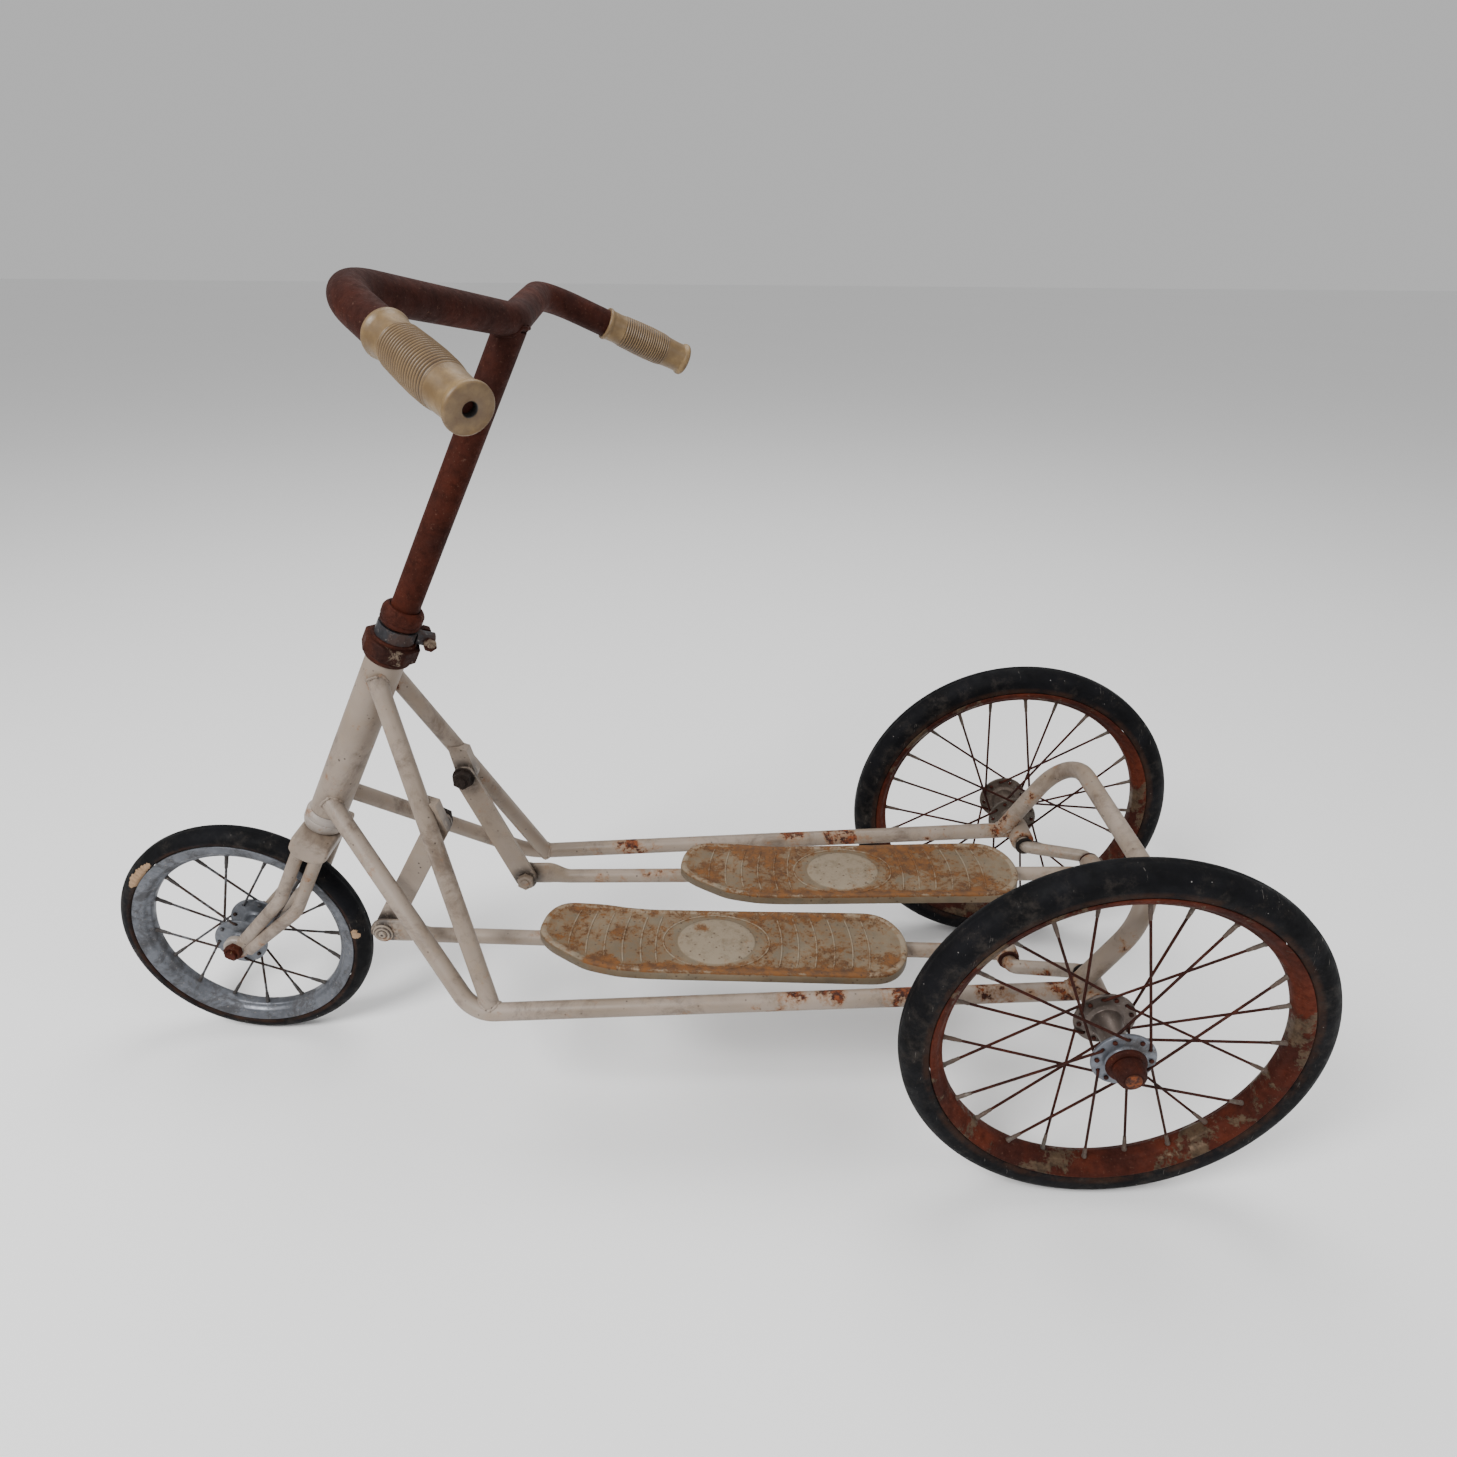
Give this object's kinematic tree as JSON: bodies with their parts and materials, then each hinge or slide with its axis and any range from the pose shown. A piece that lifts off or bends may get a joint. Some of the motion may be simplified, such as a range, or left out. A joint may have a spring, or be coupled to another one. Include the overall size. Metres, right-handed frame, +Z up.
{
  "type": "treadle tricycle",
  "caption": "Child's stand-up tricycle: spoked wheels, foot plates that turn a cranked rear axle through bars and swing links, and a raked stem with a bent handlebar.",
  "frame": {"origin": "on the floor below the middle of the object's box; the frame's middle plane is at y = 0.0107, because the turned handlebar reaches further left", "axes": "+X to the rear, +Y to the rider's right, +Z up"},
  "size_m": [1.009, 0.4803, 0.6738],
  "materials": {
    "frame_paint": "aged off-white paint, chipped and stained brown where it has rusted",
    "plate_paint": "cream paint, heavily speckled with orange-brown rust",
    "rusty_steel": "dark red-brown rust all over, rough and dull",
    "dull_plating": "dull grey plating with dark stains",
    "greasy_steel": "nearly black steel, greasy and dirty",
    "tyre_rubber": "old black rubber, dusty and scratched",
    "grip_plastic": "aged ivory plastic, brown in the grooves"
  },
  "bodies": {
    "frame": {"head_tube": "frame_paint", "lower_head_cup": "frame_paint", "upper_head_cup": "rusty_steel", "left_frame_rail": "frame_paint", "right_frame_rail": "frame_paint", "left_upper_tube": "frame_paint", "right_upper_tube": "frame_paint", "rear_hoop": "frame_paint", "left_axle_bearing": "frame_paint", "right_axle_bearing": "frame_paint", "left_link_lug": "frame_paint", "right_link_lug": "frame_paint", "left_link_bolt": "greasy_steel", "right_link_bolt": "greasy_steel"},
    "steering": {"fork_crown": "frame_paint", "left_fork_leg": "frame_paint", "right_fork_leg": "frame_paint", "front_axle": "rusty_steel", "left_front_axle_nut": "rusty_steel", "right_front_axle_nut": "rusty_steel", "headset_nut": "rusty_steel", "clamp_collar": "dull_plating", "clamp_bolt": "rusty_steel", "stem_collar": "rusty_steel"},
    "handlebar_stem": {"stem": "rusty_steel", "handlebar": "rusty_steel", "left_grip": "grip_plastic", "right_grip": "grip_plastic"},
    "front_wheel": {"front_tyre": "tyre_rubber", "front_rim": "dull_plating", "front_hub": "dull_plating"},
    "crank": {"crank_axle": "frame_paint", "left_hub_cap": "rusty_steel", "right_hub_cap": "rusty_steel", "left_axle_nut": "rusty_steel", "right_axle_nut": "rusty_steel"},
    "left_wheel": {"left_wheel_tyre": "tyre_rubber", "left_wheel_rim": "rusty_steel", "left_wheel_hub": "dull_plating"},
    "left_pedal": {"left_pedal_bar": "frame_paint", "left_crank_sleeve": "frame_paint", "left_foot_plate": "plate_paint", "left_pedal_bolt": "rusty_steel"},
    "left_swing_link": {"left_link": "frame_paint", "left_link_nut": "greasy_steel"},
    "right_wheel": {"right_wheel_tyre": "tyre_rubber", "right_wheel_rim": "rusty_steel", "right_wheel_hub": "dull_plating"},
    "right_pedal": {"right_pedal_bar": "frame_paint", "right_crank_sleeve": "frame_paint", "right_foot_plate": "plate_paint", "right_pedal_bolt": "rusty_steel"},
    "right_swing_link": {"right_link": "frame_paint", "right_link_nut": "greasy_steel"}
  },
  "joints": [
    {"name": "steering", "type": "hinge", "parent": "frame", "child": "steering", "pos_m": [-0.21946, 0.0107, 0.38838], "axis": [0.4524, 0, 0.8918], "range_deg": [-45, 45]},
    {"name": "stem_height", "type": "slide", "parent": "steering", "child": "handlebar_stem", "axis": [0.4524, 0, 0.8918], "range_m": [-0.05, 0.02]},
    {"name": "front_wheel_spin", "type": "hinge", "parent": "steering", "child": "front_wheel", "pos_m": [-0.3905, 0.0107, 0.114], "axis": [0, -1, 0], "continuous": true},
    {"name": "crank_turn", "type": "hinge", "parent": "frame", "child": "crank", "pos_m": [0.3445, 0.0107, 0.16], "axis": [0, -1, 0], "range_deg": [0, 90]},
    {"name": "left_wheel_spin", "type": "hinge", "parent": "crank", "child": "left_wheel", "pos_m": [0.3445, -0.1508, 0.16], "axis": [0, -1, 0], "continuous": true},
    {"name": "right_wheel_spin", "type": "hinge", "parent": "crank", "child": "right_wheel", "pos_m": [0.3445, 0.1722, 0.16], "axis": [0, -1, 0], "continuous": true},
    {"name": "left_pedal_hinge", "type": "hinge", "parent": "crank", "child": "left_pedal", "pos_m": [0.29331, -0.0363, 0.14628], "axis": [0, -1, 0], "range_deg": [-92.42, 0]},
    {"name": "right_pedal_hinge", "type": "hinge", "parent": "crank", "child": "right_pedal", "pos_m": [0.39737, 0.0577, 0.1637], "axis": [0, -1, 0], "range_deg": [-83.77, 0]},
    {"name": "left_link_swing", "type": "hinge", "parent": "frame", "child": "left_swing_link", "pos_m": [-0.182, -0.0268, 0.261], "axis": [0, -1, 0], "range_deg": [0, 32.68]},
    {"name": "right_link_swing", "type": "hinge", "parent": "frame", "child": "right_swing_link", "pos_m": [-0.182, 0.0482, 0.261], "axis": [0, -1, 0], "range_deg": [-25.36, 0]}
  ],
  "couplings": [
    {"joint": "left_pedal_hinge", "follows": "crank_turn", "ratio": -1.0267},
    {"joint": "right_pedal_hinge", "follows": "crank_turn", "ratio": -0.93061},
    {"joint": "left_link_swing", "follows": "crank_turn", "ratio": 0.36302},
    {"joint": "right_link_swing", "follows": "crank_turn", "ratio": -0.28161}
  ]
}
